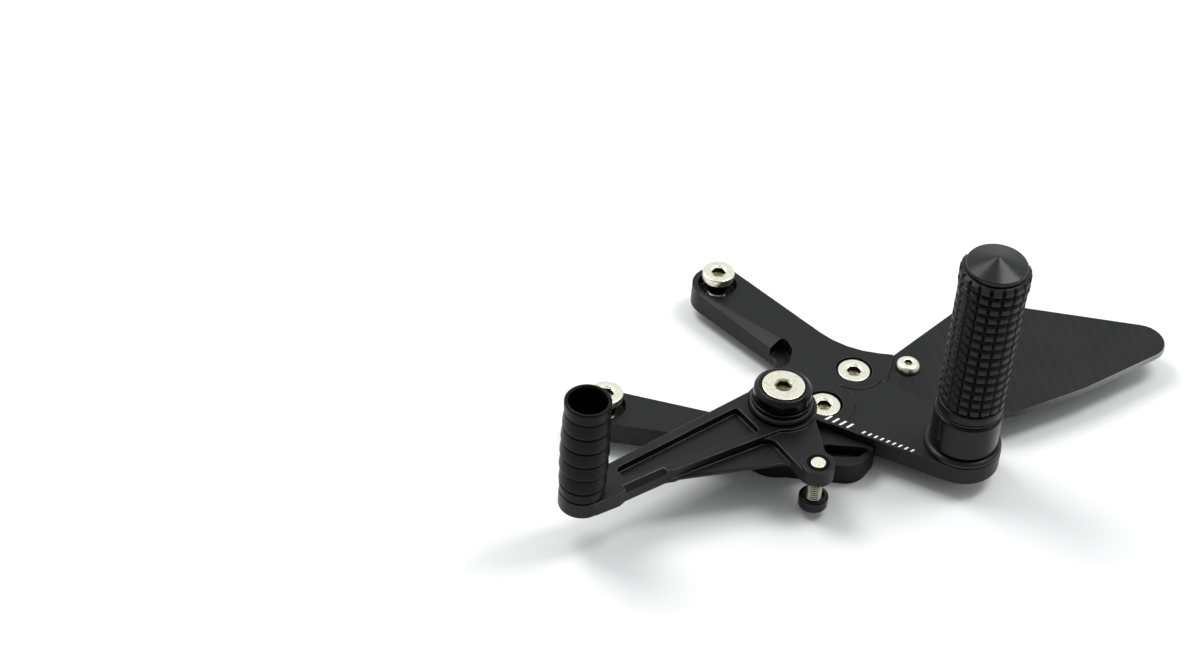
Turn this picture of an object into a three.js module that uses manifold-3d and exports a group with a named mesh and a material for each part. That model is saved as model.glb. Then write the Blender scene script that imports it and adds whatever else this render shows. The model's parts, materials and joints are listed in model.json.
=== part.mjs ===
// Shift-side rearset foot peg assembly, lying on its back: peg axis along +Z, millimetres.
// The origin is the shift-lever pivot axis at the height of the lowest faces.
import * as THREE from 'three';
import { mergeVertices } from 'three/addons/utils/BufferGeometryUtils.js';
import Module from 'manifold-3d';

const wasm = await Module();
wasm.setup();

// ---------- driving dimensions ----------
const CLEARANCE = 0.3;            // gap left between pieces that touch
const FINE_STEPS = 32;            // facets round a turned piece
const COARSE_STEPS = 24;          // facets round hidden or small pieces
const CORNER_STEP = Math.PI / 14; // angle covered by one facet of a rounded corner

// plan positions of the axes
const PIVOT = [0, 0];
const CARRIER_BOLT_UPPER = [29, 33.5];
const CARRIER_BOLT_LOWER = [17.4, 13.2];
const MOUNT_UPPER = [-24.3, 78];
const MOUNT_LOWER = [-65, 3.8];
const PEG = [68.9, -3];
const TOE = [-71.5, -52.1];
const EYE = [13.7, -29.4];
const GUARD_SCREW_FRONT = [49.9, 38.4];
const GUARD_SCREW_REAR = [72.5, 21.5];

// heights of the plates
const ARM_BOTTOM = 5;
const PLATE_TOP = 14.5;
const HUB_STEP = 11.5;            // milled-down front of the hub
const HUB_RIM = 9.5;              // low rim in front of the hub pocket
const LOBE_BOTTOM = 7;            // underside of the bracket under the carrier bolts
const ROOT_LEDGE = 8.8;           // ledge at the root of the fork
const PIVOT_BORE_FLOOR = 1.5;     // the pivot thread ends just above the back face
const CARRIER_TOP = 14.9;
const CARRIER_BOTTOM = 7.3;
const CARRIER_ROOT_BOTTOM = 6;     // thicker where the tongue grows out of its foot
const GUARD_BOTTOM = 10.7;
const GUARD_TOP = 13.2;
const LEVER_BOTTOM = 18;
const LEVER_WEB_BOTTOM = 19;
const LEVER_WEB_TOP = 20.5;
const LEVER_POCKET_FLOOR = 21.5;
const LEVER_STEP = 23.3;          // top of the short arm, stepped down from the long one
const LEVER_TOP = 24.5;
const CARRIER_HEAD_SEAT = 10.3;   // underside of the carrier bolts' heads
const CARRIER_HEAD_TOP = 14.2;
const MOUNT_SEAT = 9.5;           // floor of the counterbores round the mounting bolts
const MOUNT_SHOULDER_BOTTOM = 15.8;
const MOUNT_HEAD_BOTTOM = 17.4;
const MOUNT_HEAD_TOP = 20.8;

// radii
const M8 = 4;
const M8_HOLE = M8 + CLEARANCE;
const M6 = 3;
const M6_HOLE = M6 + CLEARANCE;
const M5 = 2.5;
const M5_HOLE = M5 + CLEARANCE;
const LOW_HEAD_RADIUS = 6.3;
const LOW_HEAD_RECESS = 7;
const MOUNT_SHOULDER_RADIUS = 5.3;
const MOUNT_COUNTERBORE = 7.7;
const LOBE_RADIUS = 11.5;
const PIVOT_BOSS_RADIUS = 14;
const PEG_END_RADIUS = 14.6;
const BEARING_BORE_RADIUS = 9.5;
const EYE_RADIUS = 6.3;
const TOE_BOSS_RADIUS = 8.4;
const SEAL_RECESS_RADIUS = 12.2;
const HEX_M8 = 5;                 // socket across flats
const HEX_M5 = 3;

// ---------- materials ----------
function finish(color, roughness, metalness) {
  return new THREE.MeshStandardMaterial({ color, roughness, metalness, flatShading: true });
}
const ANODISED = finish(0x1d1d1f, 0.42, 0.75);
const KNURLED = finish(0x161617, 0.6, 0.7);
const STAINLESS = finish(0xc9c7ba, 0.3, 1.0);
const STEEL = finish(0x8d8f92, 0.35, 1.0);
const CARBON = finish(0x202124, 0.5, 0.2);
const RUBBER = finish(0x0f0f10, 0.85, 0.0);

// ---------- shape helpers ----------
function toSolid(geometry) {
  geometry.deleteAttribute('normal');
  geometry.deleteAttribute('uv');
  const merged = mergeVertices(geometry, 1e-4);
  const kept = [];
  const index = merged.index.array;
  for (let i = 0; i < index.length; i += 3) {
    const [a, b, c] = [index[i], index[i + 1], index[i + 2]];
    if (a !== b && b !== c && c !== a) kept.push(a, b, c);
  }
  const mesh = new wasm.Mesh({
    numProp: 3,
    vertProperties: new Float32Array(merged.attributes.position.array),
    triVerts: new Uint32Array(kept),
  });
  return new wasm.Manifold(mesh);
}

// Closed outline from corners [x, y, radius]; a missing radius gives a sharp corner.
function outline(corners) {
  const points = [];
  const count = corners.length;
  for (let i = 0; i < count; i += 1) {
    const [x, y, radius = 0] = corners[i];
    const corner = new THREE.Vector2(x, y);
    if (radius === 0) {
      points.push(corner);
      continue;
    }
    const [px, py] = corners[(i + count - 1) % count];
    const [nx, ny] = corners[(i + 1) % count];
    const back = new THREE.Vector2(px, py).sub(corner).normalize();
    const ahead = new THREE.Vector2(nx, ny).sub(corner).normalize();
    const halfAngle = Math.acos(THREE.MathUtils.clamp(back.dot(ahead), -1, 1)) / 2;
    const toCentre = back.clone().add(ahead).normalize();
    const centre = corner.clone().addScaledVector(toCentre, radius / Math.sin(halfAngle));
    const first = corner.clone().addScaledVector(back, radius / Math.tan(halfAngle));
    const last = corner.clone().addScaledVector(ahead, radius / Math.tan(halfAngle));
    const from = first.clone().sub(centre).angle();
    let sweep = last.clone().sub(centre).angle() - from;
    if (sweep > Math.PI) sweep -= 2 * Math.PI;
    if (sweep < -Math.PI) sweep += 2 * Math.PI;
    const steps = Math.max(2, Math.ceil(Math.abs(sweep) / CORNER_STEP));
    for (let s = 0; s <= steps; s += 1) {
      const angle = from + (sweep * s) / steps;
      points.push(new THREE.Vector2(Math.cos(angle), Math.sin(angle)).multiplyScalar(radius).add(centre));
    }
  }
  return new THREE.Shape(points);
}

function slab(corners, bottom, top) {
  const depth = top - bottom;
  const geometry = new THREE.ExtrudeGeometry(outline(corners), { depth, bevelEnabled: false });
  geometry.translate(0, 0, bottom);
  return toSolid(geometry);
}

// Solid of revolution about a vertical axis through [x, y]; profile rows are [radius, height].
function turned(profile, [x, y], steps = FINE_STEPS) {
  const points = profile.map(([radius, height]) => new THREE.Vector2(radius, height));
  const geometry = new THREE.LatheGeometry(points, steps);
  geometry.rotateX(Math.PI / 2);
  geometry.translate(x, y, 0);
  return toSolid(geometry);
}

function disc(axis, radius, bottom, top, steps = FINE_STEPS) {
  return turned([[0, bottom], [radius, bottom], [radius, top], [0, top]], axis, steps);
}

function ring(axis, inner, outer, bottom, top, steps = COARSE_STEPS) {
  return turned([[inner, bottom], [outer, bottom], [outer, top], [inner, top], [inner, bottom]], axis, steps);
}

function hexPocket([x, y], acrossFlats, bottom, top) {
  const radius = acrossFlats / Math.sqrt(3);
  const corners = [0, 1, 2, 3, 4, 5].map((k) => {
    const angle = (k * Math.PI) / 3;
    return [x + radius * Math.cos(angle), y + radius * Math.sin(angle)];
  });
  return slab(corners, bottom, top);
}

// Cutter for a sloping strip that starts level with the top along a line and falls to the line's right.
function slopingCutter([startX, startY], [endX, endY], top, slope) {
  const reach = 16;
  const height = 6;
  const along = new THREE.Vector2(endX - startX, endY - startY);
  const cutter = new THREE.BoxGeometry(along.length(), reach, height);
  cutter.translate(along.length() / 2, -reach / 2, height / 2);
  cutter.rotateX(Math.atan(slope));
  cutter.rotateZ(along.angle());
  cutter.translate(startX, startY, top);
  return toSolid(cutter);
}

const group = new THREE.Group();

function add(name, solid, material) {
  const { vertProperties, triVerts } = solid.getMesh();
  const geometry = new THREE.BufferGeometry();
  geometry.setAttribute('position', new THREE.BufferAttribute(new Float32Array(vertProperties), 3));
  geometry.setIndex(new THREE.BufferAttribute(new Uint32Array(triVerts), 1));
  geometry.computeVertexNormals();
  const mesh = new THREE.Mesh(geometry, material);
  mesh.name = name;
  group.add(mesh);
}

// ---------- outlines shared by the two plates ----------
// Tongue of the carrier between the engraved edge, the peg end and the guard edge.
function carrierWedge(grow) {
  return [
    [12 - grow, 5 - grow],
    [63.1 - 0.4 * grow, -16.4 - 0.9 * grow],
    PEG,
    [63.2 + 0.6 * grow, 10.1 + 0.8 * grow],
    [41.3 + 0.2 * grow, 27.4 + grow],
    CARRIER_BOLT_UPPER,
    CARRIER_BOLT_LOWER,
  ];
}

// Foot of the carrier that lies under both bolted lobes of the bracket.
function carrierFoot(grow) {
  return [
    [8.5 - grow, 8 - grow, 8],
    [21.5, 2.5 - grow, 8],
    [34, 8 - grow, 2],
    [52 + grow, 3 - grow, 6],
    [56 + grow, 12, 6],
    [46 + grow, 34 + grow, 6],
    [38 + grow, 43 + grow, 9],
    [20 - grow, 43 + grow, 9],
  ];
}

// Front block of the hub, in front of the engraved edge.
function hubFront(grow) {
  return [
    [-4, -13 - grow],
    [30.6 + grow, -14.7 - grow, 9],
    [37.6 + grow, -3 + grow, 3],
    [30, 5 + grow],
    [8, 8 + grow],
  ];
}

function bothBolts(radius, bottom, top) {
  const upper = disc(CARRIER_BOLT_UPPER, radius, bottom, top);
  return upper.add(disc(CARRIER_BOLT_LOWER, radius, bottom, top));
}

// ---------- fork bracket ----------
function forkBracket() {
  const arms = slab([
    [-75.4, -5.4, 9.4],
    [-8, -11.8],
    [0, 0],
    [13, 4.6],
    [21, 1.1],
    [40.9, 25.5],
    [44.6, 43.7, 0.6],
    [25.6, 44.6, 35],
    [-24.5, 92.4, 9.8],
    [-38.2, 77.5, 9.8],
    [0.2, 41.2, 4],
    [-9.5, 11, 12],
    [-16.5, 2, 8],
    [-74.1, 14.2, 8.6],
  ], ARM_BOTTOM, PLATE_TOP);
  const boss = disc(PIVOT, PIVOT_BOSS_RADIUS, 0, PLATE_TOP);
  const front = slab(hubFront(0), 0, HUB_STEP);
  const guardLedge = slab([
    [39, 25.8],
    [44.2, 27.3],
    [47.6, 46.4],
    [42, 44],
  ], CARRIER_BOTTOM, GUARD_BOTTOM - CLEARANCE).subtract(slab(carrierWedge(CLEARANCE), 0, CARRIER_TOP));
  const raisedLobes = bothBolts(LOBE_RADIUS, LOBE_BOTTOM, CARRIER_TOP)
    .intersect(slab(carrierWedge(CLEARANCE), 0, CARRIER_TOP));
  const guardSlot = slab([
    [40.7, 27.6],
    [50, 27.6],
    [50, 46],
    [43.9, 46],
  ], GUARD_BOTTOM - CLEARANCE, GUARD_TOP + CLEARANCE);
  let body = arms.add(boss).add(front);

  const tongueRoom = slab(carrierWedge(CLEARANCE), HUB_STEP, CARRIER_TOP + 1)
    .add(slab(carrierWedge(CLEARANCE), LOBE_BOTTOM, CARRIER_TOP).subtract(slab(hubFront(0), 0, HUB_STEP)))
    .subtract(bothBolts(LOBE_RADIUS, 0, CARRIER_TOP + 2));
  const footRoom = slab(carrierFoot(CLEARANCE), -1, LOBE_BOTTOM);
  const frontStep = slab([[10, -20], [50, -20], [50, -6.2], [15.5, -6.2]], HUB_RIM, HUB_STEP + 1);
  const pocket = slab([[18, -5.8], [33.5, -5.8], [30.5, -9.2, 4], [19, -9.8, 2]], 6.5, HUB_STEP + 1);
  body = body.subtract(tongueRoom).subtract(footRoom);
  body = body.subtract(frontStep).subtract(pocket);
  body = body.subtract(armBevel()).subtract(rootLedge()).subtract(guardSlot);
  body = body.add(guardLedge).add(raisedLobes);

  for (const axis of [MOUNT_UPPER, MOUNT_LOWER]) {
    body = body.subtract(disc(axis, MOUNT_COUNTERBORE, MOUNT_SEAT, PLATE_TOP + 1));
    body = body.subtract(disc(axis, M8 + 0.4, 0, PLATE_TOP));
  }
  for (const axis of [CARRIER_BOLT_UPPER, CARRIER_BOLT_LOWER]) {
    body = body.subtract(disc(axis, LOW_HEAD_RECESS, CARRIER_HEAD_SEAT - CLEARANCE, CARRIER_TOP + 1));
    body = body.subtract(disc(axis, M8_HOLE, 0, CARRIER_TOP));
  }
  return body.subtract(disc(PIVOT, M8_HOLE, PIVOT_BORE_FLOOR, PLATE_TOP + 1));
}

// Sloping strip milled along the inner edge of the upper arm, wider towards the hub.
function armBevel() {
  return slopingCutter([-31, 72.9], [1.7, 49.1], PLATE_TOP, 0.3);
}

// Lower ledge with a rounded back wall at the root of the fork.
function rootLedge() {
  return slab([
    [-4.6, 42.6],
    [2.2, 50, 2.2],
    [5.5, 42.5, 5],
    [4.2, 35, 8],
    [-1, 28],
    [-7, 26],
  ], ROOT_LEDGE, PLATE_TOP + 1);
}

// ---------- peg carrier ----------
function pegCarrier() {
  const root = slab(carrierWedge(0), CARRIER_ROOT_BOTTOM, CARRIER_TOP)
    .intersect(slab(carrierFoot(0), 0, CARRIER_TOP));
  const tongue = slab(carrierWedge(0), CARRIER_BOTTOM, CARRIER_TOP).add(root);
  const pegEnd = disc(PEG, PEG_END_RADIUS, CARRIER_BOTTOM, CARRIER_TOP);
  const ledge = slab([
    [44.7, 26.4],
    [62, 8],
    [72, 5],
    [79.5, 18.5, 2],
    [80, 26, 4],
    [55, 44, 4],
    [47.5, 43, 1],
  ], CARRIER_BOTTOM, GUARD_BOTTOM - CLEARANCE);
  const foot = slab(carrierFoot(0), 0, LOBE_BOTTOM - CLEARANCE);
  let body = tongue.subtract(slab(hubFront(CLEARANCE), 0, HUB_STEP + CLEARANCE));
  body = body.subtract(disc(PIVOT, PIVOT_BOSS_RADIUS + CLEARANCE, 0, CARRIER_TOP + 1));
  body = body.subtract(bothBolts(LOBE_RADIUS + CLEARANCE, LOBE_BOTTOM - CLEARANCE, CARRIER_TOP + 1));
  body = body.add(pegEnd).add(ledge).add(foot);
  body = body.subtract(disc(PIVOT, PIVOT_BOSS_RADIUS + CLEARANCE, -1, LOBE_BOTTOM));
  body = body.subtract(disc(PEG, M8_HOLE, 0, CARRIER_TOP + 1));
  for (const axis of [CARRIER_BOLT_UPPER, CARRIER_BOLT_LOWER]) {
    body = body.subtract(disc(axis, M8_HOLE, -1, LOBE_BOTTOM, COARSE_STEPS));
  }
  for (const axis of [GUARD_SCREW_FRONT, GUARD_SCREW_REAR]) {
    body = body.subtract(disc(axis, M5_HOLE, -1, GUARD_BOTTOM, COARSE_STEPS));
  }
  return body;
}

// ---------- heel guard ----------
function heelGuard() {
  const plate = slab([
    [41.2, 28.6],
    [64, 10],
    [74, 12.5],
    [91, 17.6, 20],
    [118, 33.8, 60],
    [167.4, 70.9, 9.7],
    [76.2, 81, 6],
    [43.9, 44],
  ], GUARD_BOTTOM, GUARD_TOP);
  let body = plate.subtract(disc(PEG, PEG_END_RADIUS + 0.5, 0, CARRIER_TOP + 1));
  for (const axis of [GUARD_SCREW_FRONT, GUARD_SCREW_REAR]) {
    body = body.subtract(disc(axis, M5_HOLE, 0, GUARD_TOP + 1, COARSE_STEPS));
  }
  return body;
}

// ---------- screws ----------
// Low-head socket screw standing point down, head between headBottom and headTop.
function lowHeadBolt(axis, tip, headBottom, headTop) {
  const edge = 0.7;
  const body = turned([
    [0, tip],
    [M8 - 0.8, tip],
    [M8, tip + 0.8],
    [M8, headBottom],
    [LOW_HEAD_RADIUS, headBottom],
    [LOW_HEAD_RADIUS, headTop - edge],
    [LOW_HEAD_RADIUS - edge, headTop],
    [0, headTop],
  ], axis);
  return body.subtract(hexPocket(axis, HEX_M8, headTop - 2.8, headTop + 1));
}

function carrierBolt(axis) {
  return lowHeadBolt(axis, 0.6, CARRIER_HEAD_SEAT, CARRIER_HEAD_TOP);
}

// The mounting bolts have a plain shoulder under the head and stand a little proud of their seats.
function mountBolt(axis) {
  const bolt = lowHeadBolt(axis, 0, MOUNT_HEAD_BOTTOM, MOUNT_HEAD_TOP);
  return bolt.add(disc(axis, MOUNT_SHOULDER_RADIUS, MOUNT_SHOULDER_BOTTOM, MOUNT_HEAD_BOTTOM));
}

function guardScrew(axis) {
  const seat = GUARD_TOP + CLEARANCE;
  const body = turned([
    [0, 6.2],
    [M5, 6.2],
    [M5, seat],
    [4.75, seat],
    [4.6, seat + 0.9],
    [3.9, seat + 1.9],
    [2.6, seat + 2.6],
    [0, seat + 2.6],
  ], axis, COARSE_STEPS);
  return body.subtract(hexPocket(axis, HEX_M5, seat + 1, seat + 3));
}

// ---------- shift lever ----------
function shiftLever() {
  const longArm = slab([
    [-75.4, -48.8],
    [-65.8, -58.6],
    [-57.3, -52.8],
    [-55.4, -50.1],
    [-41.3, -39.5],
    [-38, -38.4],
    [9, -7.7],
    [4, 5],
    [-9, 8.6],
    [-18.5, 0.5],
  ], LEVER_BOTTOM, LEVER_TOP);
  const shortArm = slab([
    [-9, -19.3],
    [-3.7, -15.8, 5],
    [9, -34],
    [20, -31],
    [16.4, -22.6],
    [13, -4.5],
    [0, 0],
  ], LEVER_BOTTOM, LEVER_STEP);
  const web = slab([
    [-41, -39.6],
    [-26.9, -35.4],
    [-13.5, -31.3],
    [0.3, -27.1],
    [8, -26.3],
    [4, -18],
    [-8, -14],
  ], LEVER_WEB_BOTTOM, LEVER_WEB_TOP);
  let body = longArm.add(shortArm).add(web);
  body = body.add(disc(PIVOT, PIVOT_BOSS_RADIUS - 0.4, LEVER_BOTTOM, LEVER_TOP));
  body = body.add(disc(EYE, EYE_RADIUS, LEVER_BOTTOM, LEVER_TOP));
  body = body.add(disc(TOE, TOE_BOSS_RADIUS, LEVER_BOTTOM, LEVER_TOP));
  const pocket = slab([
    [-60, -40.2, 1.8],
    [-56.2, -44.7, 2.2],
    [-7.6, -14.6, 1.6],
    [-16.6, -3.2, 1.4],
  ], LEVER_POCKET_FLOOR, LEVER_TOP + 1);
  const sealRecess = disc(PIVOT, SEAL_RECESS_RADIUS, LEVER_TOP - 1, LEVER_TOP + 1);
  body = body.subtract(pocket.subtract(disc(PIVOT, PIVOT_BOSS_RADIUS, 0, LEVER_TOP + 2)));
  body = body.subtract(slopingCutter([-57, -48.5], [-42.6, -37.7], LEVER_TOP, 1));
  body = body.subtract(sealRecess);
  body = body.subtract(disc(PIVOT, BEARING_BORE_RADIUS, 0, LEVER_TOP + 1));
  body = body.subtract(disc(EYE, M6_HOLE, 0, LEVER_TOP + 1, COARSE_STEPS));
  return body.subtract(disc(TOE, M6_HOLE, 0, LEVER_TOP + 1, COARSE_STEPS));
}

// ---------- toe peg ----------
const TOE_PEG_BOTTOM = LEVER_TOP + CLEARANCE;
const TOE_PEG_TOP = 68.6;
const TOE_PEG_FLOOR = TOE_PEG_BOTTOM + 4;
const TOE_BORE_RADIUS = 6.9;
const TOE_FIRST_RIB = TOE_PEG_BOTTOM + 5.1;
const TOE_RIBS = 5;
const TOE_RIB_PITCH = 6.74;

// Open tube with flared ribs, each narrower at its top than at its base.
function toePeg() {
  const wall = [[M6_HOLE, TOE_PEG_BOTTOM], [8.1, TOE_PEG_BOTTOM], [8.4, TOE_FIRST_RIB - 0.4]];
  for (let rib = 0; rib < TOE_RIBS; rib += 1) {
    const base = TOE_FIRST_RIB + rib * TOE_RIB_PITCH;
    const fromMiddle = (2 * rib) / (TOE_RIBS - 1) - 1;
    const flare = 9 - 0.3 * fromMiddle ** 2;
    wall.push([8.1, base], [flare, base + 0.4], [flare - 0.3, base + TOE_RIB_PITCH - 0.4]);
  }
  wall.push([8.1, TOE_FIRST_RIB + TOE_RIBS * TOE_RIB_PITCH]);
  wall.push([8.5, TOE_PEG_TOP - 0.9], [8.2, TOE_PEG_TOP]);
  wall.push([7.6, TOE_PEG_TOP], [TOE_BORE_RADIUS, TOE_PEG_TOP - 0.5]);
  wall.push([TOE_BORE_RADIUS, TOE_PEG_FLOOR], [M6_HOLE, TOE_PEG_FLOOR], [M6_HOLE, TOE_PEG_BOTTOM]);
  return turned(wall, TOE);
}

function toePegScrew() {
  const seat = TOE_PEG_FLOOR + CLEARANCE;
  const body = turned([
    [0, LEVER_BOTTOM + 0.5],
    [M6, LEVER_BOTTOM + 0.5],
    [M6, seat],
    [5, seat],
    [5, seat + 5.4],
    [4.4, seat + 6],
    [0, seat + 6],
  ], TOE, COARSE_STEPS);
  return body.subtract(hexPocket(TOE, HEX_M8, seat + 3, seat + 7));
}

// ---------- shift linkage stud ----------
const COLLAR_BOTTOM = 3.4;
const COLLAR_TOP = 8.4;

function linkageStud() {
  return turned([
    [0, COLLAR_BOTTOM + 0.2],
    [M6 - 0.6, COLLAR_BOTTOM + 0.2],
    [M6 - 0.1, COLLAR_BOTTOM + 0.7],
    [M6 - 0.1, LEVER_TOP - 0.1],
    [M6 - 0.6, LEVER_TOP + 0.5],
    [0, LEVER_TOP + 0.5],
  ], EYE, COARSE_STEPS);
}

function linkageCollar() {
  return turned([
    [M6_HOLE, COLLAR_BOTTOM],
    [5, COLLAR_BOTTOM],
    [5.5, COLLAR_BOTTOM + 0.5],
    [5.5, COLLAR_TOP - 0.5],
    [5, COLLAR_TOP],
    [M6_HOLE, COLLAR_TOP],
    [M6_HOLE, COLLAR_BOTTOM],
  ], EYE);
}

// ---------- lever pivot ----------
const PIVOT_TOP = 34.6;
const PIVOT_HEAD_RADIUS = 8.1;
const PIVOT_CAP_BOTTOM = 29.3;
const PIVOT_CAP_RADIUS = 10.9;
const SLEEVE_RADIUS = 5.4;
const SLEEVE_FLANGE_RADIUS = 7.6;
const SLEEVE_FLANGE_HEIGHT = 2.9;
const RACE_BORE = SLEEVE_RADIUS + CLEARANCE;

// heights [bottom, top] and outer radii of the rings round the sleeve
const LOWER_BEARING = [18.2, 21.1];
const UPPER_BEARING = [21.4, 23.9];
const UPPER_SEAL = [25, 27];
const THRUST_WASHER = [27.3, 29];
const LOWER_SEAL_BORE = 8;
const LOWER_SEAL_RADIUS = 12.4;
const UPPER_SEAL_RADIUS = 11.9;
const THRUST_WASHER_RADIUS = 11.4;

function pivotCap() {
  const mouth = PIVOT_HEAD_RADIUS + CLEARANCE;
  return turned([
    [M8_HOLE, PIVOT_CAP_BOTTOM],
    [PIVOT_CAP_RADIUS, PIVOT_CAP_BOTTOM],
    [PIVOT_CAP_RADIUS, PIVOT_TOP - 1.4],
    [PIVOT_CAP_RADIUS - 1.6, PIVOT_TOP - 0.2],
    [mouth, PIVOT_TOP - 0.2],
    [M8_HOLE, PIVOT_TOP - 0.2 - (mouth - M8_HOLE)],
    [M8_HOLE, PIVOT_CAP_BOTTOM],
  ], PIVOT);
}

function pivotScrew() {
  const neck = PIVOT_TOP - (PIVOT_HEAD_RADIUS - M8);
  const body = turned([
    [0, 2],
    [M8 - 0.8, 2],
    [M8, 2.8],
    [M8, neck],
    [PIVOT_HEAD_RADIUS, PIVOT_TOP],
    [0, PIVOT_TOP],
  ], PIVOT);
  return body.subtract(hexPocket(PIVOT, HEX_M8, PIVOT_TOP - 2.6, PIVOT_TOP + 1));
}

// Sleeve the bearings turn on, with a flange that stands on the bracket.
function pivotSleeve() {
  const bottom = PLATE_TOP + CLEARANCE;
  return turned([
    [M8_HOLE, bottom],
    [SLEEVE_FLANGE_RADIUS, bottom],
    [SLEEVE_FLANGE_RADIUS, bottom + SLEEVE_FLANGE_HEIGHT],
    [SLEEVE_RADIUS, bottom + SLEEVE_FLANGE_HEIGHT],
    [SLEEVE_RADIUS, PIVOT_CAP_BOTTOM - CLEARANCE],
    [M8_HOLE, PIVOT_CAP_BOTTOM - CLEARANCE],
    [M8_HOLE, bottom],
  ], PIVOT, COARSE_STEPS);
}

function leverBearing([bottom, top]) {
  return ring(PIVOT, RACE_BORE, BEARING_BORE_RADIUS - CLEARANCE, bottom, top);
}

// Dust ring that fills the space between the bracket and the lever.
function lowerSeal() {
  return ring(PIVOT, LOWER_SEAL_BORE, LOWER_SEAL_RADIUS, PLATE_TOP + CLEARANCE, LEVER_BOTTOM - CLEARANCE);
}

// ---------- foot peg ----------
const PEG_RING_RADIUS = 14.4;
const PEG_RING_TOP = 17.2;
const PEG_COLLAR_RADIUS = 12.8;
const PEG_COLLAR_TOP = 33;
const PEG_O_RING_RADIUS = 12.1;
const PEG_GRIP_RADIUS = 12.4;
const PEG_GRIP_ROOT = 11.5;
const PEG_GRIP_ROWS = 13;
const PEG_HEAD_RADIUS = 13;
const PEG_HEAD_ROOT = 11.8;
const PEG_HEAD_ROWS = 2;
const PEG_SLEEVE_BOTTOM = 34.5;
const PEG_KNURL_BOTTOM = 38.9;
const PEG_SLEEVE_TOP = 92.2;
const PEG_HEAD_TOP = 100.8;
const PEG_CAP_RADIUS = 11.1;
const PEG_CAP_RIM = 102.9;
const PEG_APEX = 106.2;
const PEG_STEM_BOTTOM = 92;
const PEG_BOLT_HEAD_RADIUS = 6.5;
const PEG_BOLT_HEAD_TOP = 5;
const PEG_BOLT_END = 40.8;
const PEG_WASHER_RADIUS = 8;
const PEG_CORE_RADIUS = 7;
const PEG_BORE_RADIUS = PEG_CORE_RADIUS + CLEARANCE;

function pegRing() {
  const bottom = CARRIER_TOP + CLEARANCE;
  return turned([
    [PEG_BORE_RADIUS, bottom],
    [PEG_RING_RADIUS, bottom],
    [PEG_RING_RADIUS, PEG_RING_TOP - 0.8],
    [PEG_RING_RADIUS - 0.9, PEG_RING_TOP],
    [PEG_BORE_RADIUS, PEG_RING_TOP],
    [PEG_BORE_RADIUS, bottom],
  ], PEG);
}

function pegCollar() {
  const bottom = PEG_RING_TOP + CLEARANCE;
  return turned([
    [PEG_BORE_RADIUS, bottom],
    [PEG_COLLAR_RADIUS, bottom],
    [PEG_COLLAR_RADIUS, PEG_COLLAR_TOP - 0.4],
    [PEG_COLLAR_RADIUS - 0.4, PEG_COLLAR_TOP],
    [PEG_BORE_RADIUS, PEG_COLLAR_TOP],
    [PEG_BORE_RADIUS, bottom],
  ], PEG);
}

function pegORing() {
  const bottom = PEG_COLLAR_TOP + CLEARANCE;
  const top = PEG_SLEEVE_BOTTOM - CLEARANCE;
  return ring(PEG, PEG_BORE_RADIUS, PEG_O_RING_RADIUS, bottom, top);
}

// Rows of grip teeth as plain turned ribs between two heights.
function gripRows(bottom, top, rows, outer, root) {
  const pitch = (top - bottom) / rows;
  const profile = [];
  for (let row = 0; row < rows; row += 1) {
    const base = bottom + row * pitch;
    profile.push([root, base + 0.15 * pitch], [outer, base + 0.3 * pitch]);
    profile.push([outer, base + 0.8 * pitch], [root, base + 0.95 * pitch]);
  }
  return profile;
}

function pegSleeve() {
  return turned([
    [PEG_BORE_RADIUS, PEG_SLEEVE_BOTTOM],
    [PEG_GRIP_RADIUS, PEG_SLEEVE_BOTTOM],
    [PEG_GRIP_RADIUS, PEG_KNURL_BOTTOM],
    ...gripRows(PEG_KNURL_BOTTOM, PEG_SLEEVE_TOP, PEG_GRIP_ROWS, PEG_GRIP_RADIUS, PEG_GRIP_ROOT),
    [PEG_GRIP_ROOT, PEG_SLEEVE_TOP],
    [PEG_BORE_RADIUS, PEG_SLEEVE_TOP],
    [PEG_BORE_RADIUS, PEG_SLEEVE_BOTTOM],
  ], PEG, COARSE_STEPS);
}

function pegHeadRing() {
  const bottom = PEG_SLEEVE_TOP + CLEARANCE;
  return turned([
    [PEG_BORE_RADIUS, bottom],
    [PEG_HEAD_ROOT, bottom],
    ...gripRows(bottom, PEG_HEAD_TOP, PEG_HEAD_ROWS, PEG_HEAD_RADIUS, PEG_HEAD_ROOT),
    [PEG_HEAD_ROOT, PEG_HEAD_TOP],
    [PEG_BORE_RADIUS, PEG_HEAD_TOP],
    [PEG_BORE_RADIUS, bottom],
  ], PEG, COARSE_STEPS);
}

// Conical end cap with its own threaded stem.
function pegEndCap() {
  const seat = PEG_HEAD_TOP + CLEARANCE;
  return turned([
    [0, PEG_STEM_BOTTOM],
    [M6, PEG_STEM_BOTTOM],
    [M6, seat],
    [PEG_CAP_RADIUS, seat],
    [PEG_CAP_RADIUS, PEG_CAP_RIM],
    [0.6, PEG_APEX],
    [0, PEG_APEX],
  ], PEG);
}

// Spindle the collar, sleeve and head ring are threaded over.
function pegSpindle() {
  const bottom = CARRIER_TOP + CLEARANCE;
  const rod = disc(PEG, PEG_CORE_RADIUS, bottom, PEG_HEAD_TOP - CLEARANCE, COARSE_STEPS);
  const lowerThread = disc(PEG, M8_HOLE, bottom - 1, PEG_BOLT_END + 4, COARSE_STEPS);
  const upperThread = disc(PEG, M6_HOLE, PEG_STEM_BOTTOM - 4, PEG_HEAD_TOP + 1, COARSE_STEPS);
  return rod.subtract(lowerThread).subtract(upperThread);
}

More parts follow.
